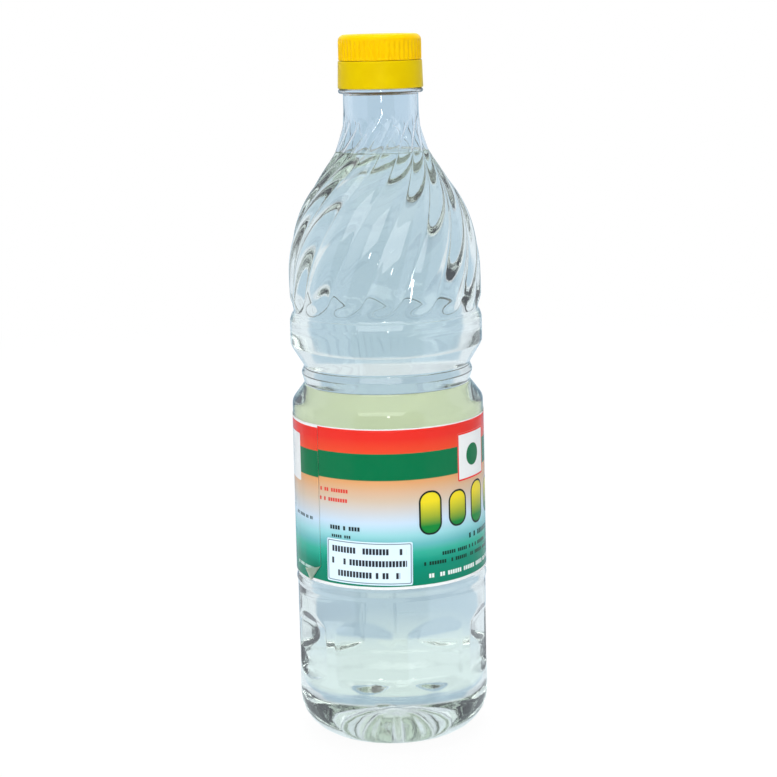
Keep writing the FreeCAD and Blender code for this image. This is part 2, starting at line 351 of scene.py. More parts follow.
def drinkLiquid():
    # nearly colourless drink: a faint yellow-green cast that deepens with the way through it
    look = drinkLook
    material, tree = newMaterial("clearDrink")
    cast = noise(tree, look["cloudSize"], 1.0).over(0.5, 0.25)
    surface = principled(tree, {
        "Base Color": mixed(cast, look["clear"], look["cast"]),
        "Roughness": 0.0, "IOR": look["ior"], "Transmission Weight": 1.0})
    depth = tree.node("ShaderNodeVolumeAbsorption", None,
                      {"Color": look["absorbs"], "Density": look["density"]})
    tree.node("ShaderNodeOutputMaterial", None, {"Surface": surface, "Volume": depth})
    return material


capLook = {
    "yellow": paint(238, 196, 2),
    "deep": paint(230, 178, 0),
    "bandYellow": paint(218, 192, 2),
    "bandDeep": paint(208, 176, 0),
    "cloudSize": 6.0,
    "grainSize": 0.5,
    "grain": 0.06,
    "grainDepth": 0.1,
    "roughness": 0.27,
    "roughnessSpread": 0.1,
    "gloss": 0.05,
    "glow": 0.12,
    "glowDepth": 2.0,
    "glowRadius": (1.0, 0.7, 0.1),
}


def yellowPlastic(name, yellow, deep):
    # moulded cap plastic: a faint cloudiness in the colour and a fine grain in the gloss
    look = capLook
    material, tree = newMaterial(name)
    cloud = noise(tree, look["cloudSize"], 3.0)
    grain = noise(tree, look["grainSize"], 2.0)
    finish(tree, principled(tree, {
        "Base Color": mixed(cloud, yellow, deep),
        "Roughness": grain * look["roughnessSpread"] + look["roughness"],
        "Specular IOR Level": look["gloss"], "Subsurface Weight": look["glow"],
        "Subsurface Scale": look["glowDepth"] * mm, "Subsurface Radius": look["glowRadius"],
        "Normal": bumped(grain, look["grain"], look["grainDepth"])}))
    return material


# heights are millimetres above the label's lower edge, places are degrees round from the front
labelLook = {
    "perDegree": 0.69,  # millimetres round the film in one degree
    "printEdge": 0.1,
    "whiteEdge": 0.5,
    "lowMargin": 1.2,
    "stripeLow": 44.4,
    "stripeHigh": 55.2,
    "stripeEdge": 0.15,
    "redHigh": 61.2,
    "red": paint(238, 50, 40),
    "redLow": paint(242, 82, 48),
    "stripe": paint(3, 118, 72),
    "white": paint(244, 246, 246),
    "ink": paint(24, 38, 34),
    "fade": [
        (0.0, paint(6, 130, 100)), (9.0, paint(10, 143, 116)), (12.0, paint(30, 163, 138)),
        (15.0, paint(60, 183, 159)), (18.0, paint(106, 191, 194)), (22.0, paint(158, 220, 226)),
        (27.0, paint(205, 228, 247)), (36.0, paint(219, 199, 177)), (44.0, paint(230, 167, 109)),
    ],
    "lozengeTurns": [24.0, 43.5, 63.0, 82.5, 102.0],
    "lozengeMiddle": 30.4,
    "lozengeWidth": 9.6,
    "lozengeHeights": [17.5, 14.5],  # tall and short by turns
    "lozengeCorner": 4.4,
    "lozengeRim": (-0.55, 0.25),
    "lozengeShade": (25.0, 35.0),
    "lozengeLow": paint(20, 140, 60),
    "lozengeHigh": paint(244, 224, 40),
    "panelTurn": 180.0,
    "panelBox": (32.6, 66.0, 61.0, 2.5),  # middle height, width, height, corner
    "panel": paint(246, 252, 216),
    "emblemTurn": 58.5,
    "plainTurn": 280.0,
    "emblemBox": (50.5, 20.0, 19.5, 0.8),
    "emblemRim": 0.72,
    "spotBox": (50.5, 9.0, 9.0, 4.4),
    "roughness": 0.12,
    "roughnessSpread": 0.08,
    "gloss": 0.12,
    "waveSize": 14.0,
    "waveStretch": (1.0, 1.0, 0.5),
    "waveStrength": 0.25,
    "waveDepth": 0.4,
    "cloudSize": 3.0,
    "paleness": 0.006,
    "letThrough": 0.15,
    "inkGlow": paint(84, 110, 98),
    "panelThrough": 0.6,
    "backThrough": 0.72,
    "back": paint(244, 246, 236),
    "backShade": paint(232, 238, 220),
    "backCloudSize": 5.0,
    "backRoughness": 0.35,
}

redInk = paint(226, 60, 52)
greenInk = paint(10, 48, 36)
labelDashes = [
    # rows of small dashes: first turn, last turn, middle height, dash height, length, colour
    (-45.0, -25.0, 39.6, 1.5, 1.15, redInk),
    (-45.5, -25.5, 35.7, 1.5, 1.15, redInk),
    (-38.0, -18.0, 24.5, 1.7, 1.25, paint(30, 40, 46)),
    (-37.0, -24.0, 21.0, 1.2, 1.0, paint(40, 60, 62)),
    (53.0, 100.0, 17.4, 2.1, 1.7, greenInk),
    (31.0, 112.0, 13.0, 1.5, 1.15, greenInk),
    (19.0, 118.0, 9.7, 1.5, 1.15, greenInk),
    (22.0, 116.0, 4.6, 1.7, 1.25, paint(240, 250, 246)),
    (286.0, 308.0, 27.0, 1.3, 1.0, paint(30, 60, 62)),
    (286.0, 309.0, 6.0, 1.2, 1.0, paint(214, 240, 232)),
    (140.0, 222.0, 33.0, 1.2, 1.0, paint(60, 54, 48)),
    (140.0, 218.0, 30.0, 1.2, 1.0, paint(60, 54, 48)),
    (140.0, 222.0, 27.0, 1.2, 1.0, paint(50, 54, 58)),
    (140.0, 212.0, 24.0, 1.2, 1.0, paint(40, 54, 58)),
]
dashShape = {
    "start": 0.10,  # of each cell
    "end": 0.86,
    "edge": 0.08,
    "blanks": 0.16,
    "heightEdge": 0.12,
}


def dashes(turn, rise, first, last, middle, height, length, seed):
    # a row of cells, one dash in each: a cell is left blank by chance
    cell = (turn - first) * (labelLook["perDegree"] / length)
    chance = turn.node("ShaderNodeTexWhiteNoise", {"noise_dimensions": "1D"},
                       {"W": cell.sum("FLOOR") + seed * 17.0})
    filled = cell.sum("FRACT").within(dashShape["start"], dashShape["end"], dashShape["edge"])
    filled = filled * chance.over(dashShape["blanks"], 0.001)
    tall = rise.within(middle - height / 2.0, middle + height / 2.0, dashShape["heightEdge"])
    return filled * tall * turn.within(first, last, labelLook["printEdge"])


def roundedBox(turn, rise, middleTurn, middleRise, width, height, corner):
    # distance to a rounded rectangle, in millimetres: below 0 inside
    across = ((turn - middleTurn) * labelLook["perDegree"]).sum("ABSOLUTE") - (width / 2.0 - corner)
    up = (rise - middleRise).sum("ABSOLUTE") - (height / 2.0 - corner)
    across = across.sum("MAXIMUM", 0.0)
    up = up.sum("MAXIMUM", 0.0)
    return (across * across + up * up).sum("SQRT") - corner


def printBands(tree, rise):
    # a fade of many colours, then a green stripe, then red that deepens upwards
    look = labelLook
    stops = [(place / labelHeight, colour) for place, colour in look["fade"]]
    fade = tree.node("ShaderNodeValToRGB", {"stops": stops}, {"Fac": rise / labelHeight})
    colour = mixed(rise.over(look["stripeLow"], look["stripeEdge"]), fade, look["stripe"])
    red = mixed(rise.climb(look["stripeHigh"], look["redHigh"]), look["redLow"], look["red"])
    return mixed(rise.over(look["stripeHigh"], look["stripeEdge"]), colour, red)


def printLozenges(colour, turn, rise):
    # a row of upright lozenges, yellow over green with a dark rim
    look = labelLook
    inner, outer = look["lozengeRim"]
    for index, middle in enumerate(look["lozengeTurns"]):
        gap = roundedBox(turn, rise, middle, look["lozengeMiddle"], look["lozengeWidth"],
                         look["lozengeHeights"][index % 2], look["lozengeCorner"])
        inside = mixed(rise.climb(*look["lozengeShade"]), look["lozengeLow"], look["lozengeHigh"])
        colour = mixed(gap.under(outer, look["printEdge"]), colour, look["ink"])
        colour = mixed(gap.under(inner, look["printEdge"]), colour, inside)
    return colour


def printEmblem(colour, turn, rise):
    # two white squares, the front one with a red rim and a round green spot
    look = labelLook
    for middle in (look["emblemTurn"], look["plainTurn"]):
        square = roundedBox(turn, rise, middle, *look["emblemBox"])
        colour = mixed(square.under(0.0, look["printEdge"]), colour, look["white"])
        if middle == look["emblemTurn"]:
            spot = roundedBox(turn, rise, middle, *look["spotBox"])
            colour = mixed(spot.under(0.0, look["printEdge"]), colour, look["stripe"])
            colour = mixed(square.within(-look["emblemRim"], 0.0, 0.08), colour, look["red"])
    return colour


def printedFilm():
    # wrap film: bands of colour with plain shapes and rows of dashes, some light let through
    look = labelLook
    material, tree = newMaterial("labelFilm")
    turn, rise = attribute(tree, "turn"), attribute(tree, "rise")
    colour = printLozenges(printBands(tree, rise), turn, rise)
    panel = roundedBox(turn, rise, look["panelTurn"], *look["panelBox"]).under(0.0, look["printEdge"])
    colour = printEmblem(mixed(panel, colour, look["panel"]), turn, rise)
    for seed, (first, last, middle, tall, length, ink) in enumerate(labelDashes):
        colour = mixed(dashes(turn, rise, first, last, middle, tall, length, seed), colour, ink)
    edge = rise.under(look["lowMargin"], look["printEdge"])
    edge = edge + rise.over(labelHeight - look["whiteEdge"], look["printEdge"])
    colour = mixed(edge.sum("MINIMUM", 1.0), colour, look["white"])
    cloud = noise(tree, look["cloudSize"], 3.0)
    wave = noise(tree, look["waveSize"], 1.0, look["waveStretch"])
    inked = principled(tree, {
        "Base Color": mixed(cloud * look["paleness"], colour, look["white"]),
        "Roughness": cloud * look["roughnessSpread"] + look["roughness"],
        "Specular IOR Level": look["gloss"],
        "Normal": bumped(wave, look["waveStrength"], look["waveDepth"])})
    # light that comes through: dim behind the inks, cream behind the panel
    inkGlow = tree.node("ShaderNodeBsdfTranslucent", None, {"Color": look["inkGlow"]})
    panelGlow = tree.node("ShaderNodeBsdfTranslucent", None, {"Color": look["panel"]})
    through = panel * (look["panelThrough"] - look["letThrough"]) + look["letThrough"]
    finish(tree, mixedShader(through, inked, mixedShader(panel, inkGlow, panelGlow)))
    return material


def filmBack():
    # unprinted back of the film: whitish, and it lets most of the light through
    look = labelLook
    material, tree = newMaterial("labelBack")
    colour = mixed(noise(tree, look["backCloudSize"], 3.0), look["back"], look["backShade"])
    surface = principled(tree, {"Base Color": colour, "Roughness": look["backRoughness"]})
    glow = tree.node("ShaderNodeBsdfTranslucent", None, {"Color": look["back"]})
    finish(tree, mixedShader(look["backThrough"], surface, glow))
    return material


stickerLook = {
    "paper": paint(218, 242, 255),
    "fibre": paint(186, 208, 226),
    "fibreSize": 1.5,
    "fibreShare": 0.12,
    "rim": paint(120, 138, 150),
    "rimBox": (34.9, 16.2, 0.6),  # width, height, corner
    "rimWidth": 0.22,
    "ink": paint(24, 30, 42),
    "rows": [(4.9, 15.6), (0.0, 15.8), (-4.9, 13.0)],  # height above the middle, reach to each side
    "dashHeight": 2.5,
    "dashLength": 1.35,
    "firstSeed": 40,
    "roughness": 0.3,
    "roughnessSpread": 0.1,
}


def stickerFilm():
    # white sticker with a thin grey rim and three rows of dashes
    look = stickerLook
    material, tree = newMaterial("stickerFilm")
    turn = attribute(tree, "across") / labelLook["perDegree"]
    up = attribute(tree, "up")
    fibre = noise(tree, look["fibreSize"], 4.0)
    colour = mixed(fibre * look["fibreShare"], look["paper"], look["fibre"])
    rimGap = roundedBox(turn, up, 0.0, 0.0, *look["rimBox"])
    colour = mixed(rimGap.within(-look["rimWidth"], look["rimWidth"], 0.08), colour, look["rim"])
    for seed, (middle, reach) in enumerate(look["rows"], look["firstSeed"]):
        reach = reach / labelLook["perDegree"]
        mask = dashes(turn, up, -reach, reach, middle, look["dashHeight"], look["dashLength"], seed)
        colour = mixed(mask, colour, look["ink"])
    finish(tree, principled(tree, {
        "Base Color": colour, "Roughness": fibre * look["roughnessSpread"] + look["roughness"]}))
    return material


bottleShape = {
    "radius": 38.95,
    "wall": 0.4,
    "columns": 224,
    # foot and heel
    "pushUp": 9.0,
    "kneeRadius": 9.0,
    "kneeHeight": 7.6,
    "kneeFillet": 6.0,
    "standingWidth": 3.4,
    "standingFillet": 1.2,
    "heelRelief": 0.15,
    "heelCorner": 15.2,
    "heelLow": 23.4,
    "heelHigh": 25.0,
    "heelFillet": 4.0,
    "starRadius": 2.2,
    "starStart": (7.0, 6.2),
    "starEnd": (31.5, -2.2),
    "starTop": 15.0,
    "starBlend": 0.5,
    # grip windows, and the bead above them
    "windows": 8,
    "windowTurn": 27.0,
    "windowHalfWidth": 12.0,
    "windowLow": 29.4,
    "windowHigh": 49.0,
    "windowDepth": 2.3,
    "windowSlope": 2.5,
    "windowZone": (20.0, 60.0),
    "sillRise": 4.0,
    "headRise": 5.4,
    "windowEdge": 0.6,
    "pillarCrowd": 0.6,
    "beadLow": 63.6,
    "beadMiddle": 65.6,
    "beadHigh": 67.8,
    "beadRelief": 0.45,
    "beadFillet": 1.2,
    # waist and band, with heights above the label's upper edge
    "waistLow": 5.6,
    "grooveLow": 12.6,
    "ribMiddle": 17.0,
    "grooveHigh": 19.8,
    "waistHigh": 28.5,
    "waistFillet": 4.5,
    "grooveDepth": 5.3,
    "grooveFillet": 1.7,
    "ribDepth": 4.1,
    "ribFillet": 1.4,
    "bandHigh": 38.6,
    "bandFillet": 4.0,
    "ledgeHeight": 40.9,
    "ledgeDepth": 0.8,
    "ledgeFillet": 1.6,
    # fluted shoulder
    "shoulderDepth": 0.15,
    "plainHeight": 16.4,
    "shoulderArc": 60.8,
    "coneAngle": 35.0,
    "neckArc": 39.0,
    "flutes": 16,
    "fluteTurn": 4.5,
    "fluteRelief": 1.5,
    "fluteFoot": 0.9,
    "fluteMargin": 1.5,
    "creaseShare": 0.16,
    "creaseCrowd": 0.55,
    "helixLow": 20.0,
    "helixHigh": 34.0,
    "runIn": 7.0,
    "runInDrop": 0.5,
    "runOut": 9.0,
    "closeRows": 9.0,
    # neck, support ring and finish
    "neckRadius": 15.0,
    "neckHeight": 5.9,
    "ringRadius": 16.9,
    "ringHeight": 1.8,
    "ringFillet": 0.8,
    "finishRadius": 14.6,
    "finishHeight": 19.6,
    "finishFillet": 0.3,
    "lockLift": 4.0,
    "lockHeight": 1.6,
    "lockRelief": 0.9,
    "boreRadius": 12.7,
    "boreStep": (0.3, 2.2),
    "boreFillet": 1.0,
}

ledge = labelHigh[2] + bottleShape["ledgeHeight"]
ringTop = rim - bottleShape["finishHeight"]
ringBottom = ringTop - bottleShape["ringHeight"]
neckBottom = ringBottom - bottleShape["neckHeight"]
fluteStart = ledge + bottleShape["fluteFoot"]
fluteTop = neckBottom - bottleShape["fluteMargin"]
pitch = 360.0 / bottleShape["windows"]


def bodyOutline():
    # outline from the centre of the foot up to the ledge that the flutes rise from
    shape = bottleShape
    radius, top = shape["radius"], labelHigh[2]
    heel = radius + shape["heelRelief"]
    foot = heel - shape["heelCorner"] - shape["standingWidth"]
    groove, rib = radius - shape["grooveDepth"], radius - shape["ribDepth"]
    return outline([
        (0.0, shape["pushUp"], 0.0, 0),
        (shape["kneeRadius"], shape["kneeHeight"], shape["kneeFillet"], 3),
        (foot, 0.0, shape["standingFillet"], 9),
        (heel, 0.0, shape["heelCorner"], 2),
        (heel, shape["heelLow"], shape["heelFillet"], 3),
        (radius, shape["heelHigh"], shape["heelFillet"], 1),
        # rows lie close together at the windows' sills and heads
        (radius, shape["windowLow"] + 2.2, 0.0, 14),
        (radius, shape["windowHigh"] - 1.4, 0.0, 7),
        (radius, shape["windowHigh"] + 7.4, 0.0, 17),
        (radius, shape["beadLow"], shape["beadFillet"], 2),
        (radius + shape["beadRelief"], shape["beadMiddle"], shape["beadFillet"], 2),
        (radius, shape["beadHigh"], shape["beadFillet"], 2),
        (radius, top + shape["waistLow"], shape["waistFillet"], 9),
        (groove, top + shape["grooveLow"], shape["grooveFillet"], 5),
        (rib, top + shape["ribMiddle"], shape["ribFillet"], 3),
        (groove, top + shape["grooveHigh"], shape["grooveFillet"], 2),
        (radius, top + shape["waistHigh"], shape["waistFillet"], 6),
        (radius, top + shape["bandHigh"], shape["bandFillet"], 4),
        (radius - shape["ledgeDepth"], ledge, shape["ledgeFillet"], 4),
        (radius - shape["shoulderDepth"] - shape["fluteRelief"], fluteStart, 0.0, 1)])


def shoulderRadius(height):
    # plain shoulder: upright, then a convex arc, a cone and a concave arc into the neck
    shape = bottleShape
    lean = np.radians(shape["coneAngle"])
    top = shape["radius"] - shape["shoulderDepth"]
    arcLow = ledge + shape["plainHeight"]
    arcHigh = arcLow + shape["shoulderArc"] * np.sin(lean)
    arcEnd = top - shape["shoulderArc"] * (1.0 - np.cos(lean))
    coneEnd = shape["neckRadius"] + shape["neckArc"] * (1.0 - np.cos(lean))
    coneHigh = arcHigh + (arcEnd - coneEnd) / np.tan(lean)
    rise = np.clip((height - arcLow) / shape["shoulderArc"], 0.0, 1.0)
    fall = np.clip((neckBottom - height) / shape["neckArc"], 0.0, 1.0)
    convex = top - shape["shoulderArc"] * (1.0 - np.sqrt(1.0 - rise * rise))
    cone = arcEnd - (height - arcHigh) * np.tan(lean)
    concave = shape["neckRadius"] + shape["neckArc"] * (1.0 - np.sqrt(1.0 - fall * fall))
    return np.where(height < arcHigh, convex, np.where(height < coneHigh, cone, concave))


def shoulderRows():
    # heights of the shoulder's rows, closer together where the flutes begin
    close = fluteStart + bottleShape["closeRows"]
    return np.sort(np.concatenate([
        np.linspace(fluteStart, close, 13)[1:], np.linspace(close, fluteTop, 50)[1:],
        [drinkLevel], np.linspace(fluteTop, ringBottom, 8)[1:]]))


def fluteTurns(heights):
    # turn of the flutes at each height: the sum of tan(helix) * climb / radius
    steps = np.linspace(ledge, ringBottom, 900)
    middle = (steps[1:] + steps[:-1]) / 2.0
    slope = (shoulderRadius(steps[1:]) - shoulderRadius(steps[:-1])) / np.diff(steps)
    share = (middle - ledge) / (fluteTop - ledge)
    low, high = bottleShape["helixLow"], bottleShape["helixHigh"]
    helix = np.where(middle < fluteTop, np.radians(low + (high - low) * share), 0.0)
    climb = np.diff(steps) * np.hypot(1.0, slope)
    turns = np.cumsum(np.degrees(np.tan(helix) * climb / shoulderRadius(middle)))
    return np.interp(heights, steps, np.append(0.0, turns))


def columnSectors(height):
    # place of each column, counted in windows round the bottle: columns lie closer together at
    # the pillars between the windows, below the label, and at the flutes' creases, above it
    shape = bottleShape
    sector = np.arange(shape["columns"]) / shape["columns"] * shape["windows"]
    below = shape["pillarCrowd"] * smooth((labelHigh[2] - height) / 60.0)
    above = shape["creaseCrowd"] * smooth((height - labelHigh[2]) / 30.0)
    wave = 2.0 * np.pi
    sector = sector - below * np.sin(wave * sector) / wave
    wave = wave * shape["flutes"] / shape["windows"]
    return sector - above * np.sin(wave * sector) / wave


def fluteDepth(sector, height):
    # lobes of |sin(pi s)| that meet in rounded creases, rising from the ledge in tongues and
    # running out at the neck
    shape = bottleShape
    crease = shape["creaseShare"]
    wave = np.sin(np.pi * sector * shape["flutes"] / shape["windows"])
    lobe = (np.sqrt(crease ** 2 + wave ** 2) - crease) / (np.sqrt(crease ** 2 + 1.0) - crease)
    fadeIn = smooth((height - fluteStart + shape["runInDrop"]) / shape["runIn"])
    fadeOut = smooth((fluteTop - height) / shape["runOut"])
    return shape["fluteRelief"] * fadeOut * (1.0 - fadeIn * lobe)


def windowLimit(turn, height):
    # radius of the planes that cut the grip windows: a flat floor, whose sill, head and sides
    # slope outwards
    shape = bottleShape
    depth, reach = shape["windowDepth"], shape["windowEdge"]
    away = (turn - shape["windowTurn"] + pitch / 2.0) % pitch - pitch / 2.0
    across = np.abs(shape["radius"] * np.sin(np.radians(away)))
    sill = depth / shape["sillRise"] * (shape["windowLow"] - height)
    head = depth / shape["headRise"] * (height - shape["windowHigh"])
    side = shape["windowSlope"] * (across - shape["windowHalfWidth"])
    out = smoothMax(smoothMax(smoothMax(sill, head, reach), side, reach), 0.0, reach)
    return (shape["radius"] - depth + out) / np.cos(np.radians(away))


def starLift(radius, turn, height):
    # heights with round grooves in the foot: each groove's crown is its sloping centre line
    # plus sqrt(r^2 - aside^2)
    shape = bottleShape
    (startR, startZ), (endR, endZ) = shape["starStart"], shape["starEnd"]
    away = np.radians((turn - shape["fluteTurn"] + pitch / 2.0) % pitch - pitch / 2.0)
    aside, out = radius * np.sin(away), radius * np.cos(away)
    past = np.maximum(startR - out, 0.0)
    room = np.sqrt(np.maximum(shape["starRadius"] ** 2 - aside ** 2 - past ** 2, 0.0))
    slope = (endZ - startZ) / (endR - startR)
    crown = startZ + slope * (np.maximum(out, startR) - startR) + room * np.hypot(1.0, slope)
    grooved = (room > 0.0) & (height < shape["starTop"])
    return np.where(grooved, smoothMax(height, crown, shape["starBlend"]), height)


def vesselSurface():
    # outside below the support ring: the plain outline less flutes and windows, over a foot
    # lifted by its star; gives the grid of points, and the plain height of each row
    shape = bottleShape
    bodyR, bodyZ = bodyOutline()
    heights = shoulderRows()
    plain = np.concatenate([bodyR, shoulderRadius(heights)])[:, None]
    height = np.concatenate([bodyZ, heights])[:, None]
    sector = columnSectors(height)
    turn = sector * pitch + shape["fluteTurn"] + fluteTurns(height)
    onShoulder = np.arange(len(height))[:, None] >= len(bodyR)
    radius = plain - np.where(onShoulder, fluteDepth(sector, height), 0.0)
    low, high = shape["windowZone"]
    cut = smoothMin(radius, windowLimit(turn, height), shape["windowEdge"])
    radius = np.where((height > low) & (height < high), cut, radius)
    return turnedPoint(radius, turn, starLift(radius, turn, height)), height[:, 0]


vessel, vesselHeights = vesselSurface()
vesselNormal = outwards(vessel)
vesselNormal[0] = (0.0, 0.0, -1.0)


def skinInside(inset):
    # the vessel's surface moved inwards along its normals
    return vessel - vesselNormal * inset


def makeBottle():
    # one closed surface: up the outside, round the ring and finish, over the rim and down inside
    shape = bottleShape
    neck, finishR, bore = shape["neckRadius"], shape["finishRadius"], shape["boreRadius"]
    throat, fillet = neck - shape["wall"], shape["finishFillet"]
    lock = ringTop + shape["lockLift"]
    stepLow, stepHigh = shape["boreStep"]
    ringR, ringZ = outline([
        (neck, ringBottom - 0.6, 0.0, 0),
        (neck, ringBottom, 0.4, 1),
        (shape["ringRadius"], ringBottom, shape["ringFillet"], 1),
        (shape["ringRadius"], ringTop, shape["ringFillet"], 1),
        (finishR, ringTop, fillet, 1),
        (finishR, lock, 0.2, 2),
        (finishR + shape["lockRelief"], lock, fillet, 1),
        (finishR, lock + shape["lockHeight"], fillet, 1),
        (finishR, rim, 0.5, 4),
        (bore, rim, 0.4, 1),
        (bore, ringTop + stepHigh, shape["boreFillet"], 4),
        (throat, ringTop + stepLow, shape["boreFillet"], 1),
        (throat, ringBottom, 0.0, 1)], 25.0)
    topTurn = np.degrees(np.arctan2(vessel[-1, :, 0], -vessel[-1, :, 1]))
    ring = turnedPoint(ringR[1:, None], topTurn[None, :], ringZ[1:, None])
    inside = skinInside(shape["wall"])[::-1]
    rows = np.concatenate([vessel[1:-1], ring, inside[1:-1]])
    surface = closedRound(rows, vessel[0, 0], inside[-1, 0])
    makePiece("bottleShell", surface, [clearPlastic()], "bottle")


drinkShape = {
    "intoWall": 0.55,  # share of the wall that the skin leaves free
    "edgeClimb": 0.45,
    "edgeRise": 0.7,
    "edgeReach": 0.9,
    "rings": (0.35, 0.8, 1.4, 2.2, 3.4, 6.0, 12.0, 18.0),  # distances in from the edge
}


def makeDrink():
    # the vessel's surface just inside the wall, closed by a level top that climbs at its edge
    # by rise * exp(-distance / reach)
    shape = drinkShape
    skin = skinInside(bottleShape["wall"] * shape["intoWall"])
    filled = np.flatnonzero(vesselHeights <= drinkLevel + 0.01)
    edge = skin[filled[-1]]
    edgeTop = edge + (skin[filled[-1] + 1] - edge) * shape["edgeClimb"]
    inwards = np.array(shape["rings"])[:, None, None]
    radius = np.linalg.norm(edge[:, :2], axis=1)[None, :, None]
    level = edge[None] * (1.0 - inwards / radius)
    level[:, :, 2] = drinkLevel + shape["edgeRise"] * np.exp(-inwards[:, :, 0] / shape["edgeReach"])
    rows = np.concatenate([skin[filled[1:]], edgeTop[None], level])
    surface = closedRound(rows, skin[0, 0], (0.0, 0.0, drinkLevel))
    makePiece("drinkBody", surface, [drinkLiquid()], "drink")


makeBottle()
makeDrink()


capShape = {
    "ribs": 48,
    "ribDepth": 0.42,
    "columnsPerRib": 8,
    "clearance": 0.25,
    "edgeFillet": 2.6,
    "top": 1.6,
    "recess": 0.25,
    "recessRadius": 11.5,
    "fillet": 0.3,
}


def makeCap():
    # turned outline whose skirt is ribbed: radius less depth * (1 - wave), where wave is
    # (0.5 - 0.5 cos(ribs * turn)) ^ 0.8
    shape = capShape
    radius, low, high = capHigh[0], capLow[2], capHigh[2]
    inner = bottleShape["finishRadius"] + shape["clearance"]
    sunk = high - shape["recess"]
    capR, capZ = outline([
        (0.0, rim, 0.0, 0),
        (inner, rim, shape["fillet"], 3),
        (inner, low, 0.2, 4),
        (radius, low, 0.35, 2),
        (radius, high, shape["edgeFillet"], 8),
        (shape["recessRadius"], high, shape["fillet"], 2),
        (shape["recessRadius"] - 0.5, sunk, shape["fillet"], 1),
        (0.0, sunk, 0.0, 5)], 9.0)
    turn = np.linspace(0.0, 360.0, shape["ribs"] * shape["columnsPerRib"], endpoint=False)
    wave = (0.5 - 0.5 * np.cos(np.radians(turn * shape["ribs"]))) ** 0.8
    # ribs start just above the lower edge and run out on the rounded top edge
    outer = smooth(capR - inner - 0.2) * smooth((capZ - low) / 0.5)
    fade = outer * smooth((high - shape["top"] - capZ) / 2.0)
    cut = shape["ribDepth"] * fade[:, None] * (1.0 - wave[None, :])
    rows = turnedPoint(capR[:, None] - cut, turn[None, :], capZ[:, None])
    plastic = yellowPlastic("capPlastic", capLook["yellow"], capLook["deep"])
    surface = closedRound(rows[1:-1], rows[0, 0], rows[-1, 0])
    makePiece("cap", surface, [plastic], "cap")


bandShape = {
    "columns": 128,
    "flare": 0.3,
    "wall": 1.2,
}


def makeTamperBand():
    # closed section turned round the neck: straight flared outside with rounded edges
    low, high = bandLow[2], bandHigh[2]
    wide, wall = bandHigh[0], bandShape["wall"]
    narrow, middle = wide - bandShape["flare"], wide - wall / 2.0
    bandR, bandZ = outline([
        (middle, low, 0.0, 0), (wide, low, 0.35, 1), (narrow, high, 0.4, 8),
        (narrow - wall, high, 0.3, 1), (wide - wall, low, 0.2, 4), (middle, low, 0.0, 1)], 20.0)
    columns = bandShape["columns"]
    turn = np.linspace(0.0, 360.0, columns, endpoint=False)
    rows = turnedPoint(bandR[:-1, None], turn[None, :], bandZ[:-1, None])
    plastic = yellowPlastic("bandPlastic", capLook["bandYellow"], capLook["bandDeep"])
    surface = rows.reshape(-1, 3), [ringQuads(len(rows), columns, True)]
    makePiece("tamperBand", surface, [plastic], "tamper_band")


makeCap()
makeTamperBand()


labelShape = {
    "lapTurn": -46.0,
    "lapWidth": 9.0,
    "lapLift": 0.18,
    "lapSlope": 6.0,
    "thickness": 0.12,
    "stand": 0.10,
    "flare": 0.25,
    "dip": 0.7,
    "foldAlong": 6.8,
    "foldUp": 7.6,
    "foldDegrees": 152.0,
    "foldBend": 0.35,
    "closeTurns": (8.0, 20.0),  # at the hidden and the free end
    "closeRise": 8.0,
    "waves": [(0.02, 5.0, 0.0), (0.016, 11.0, 40.0)],  # depth, count round, first angle
}


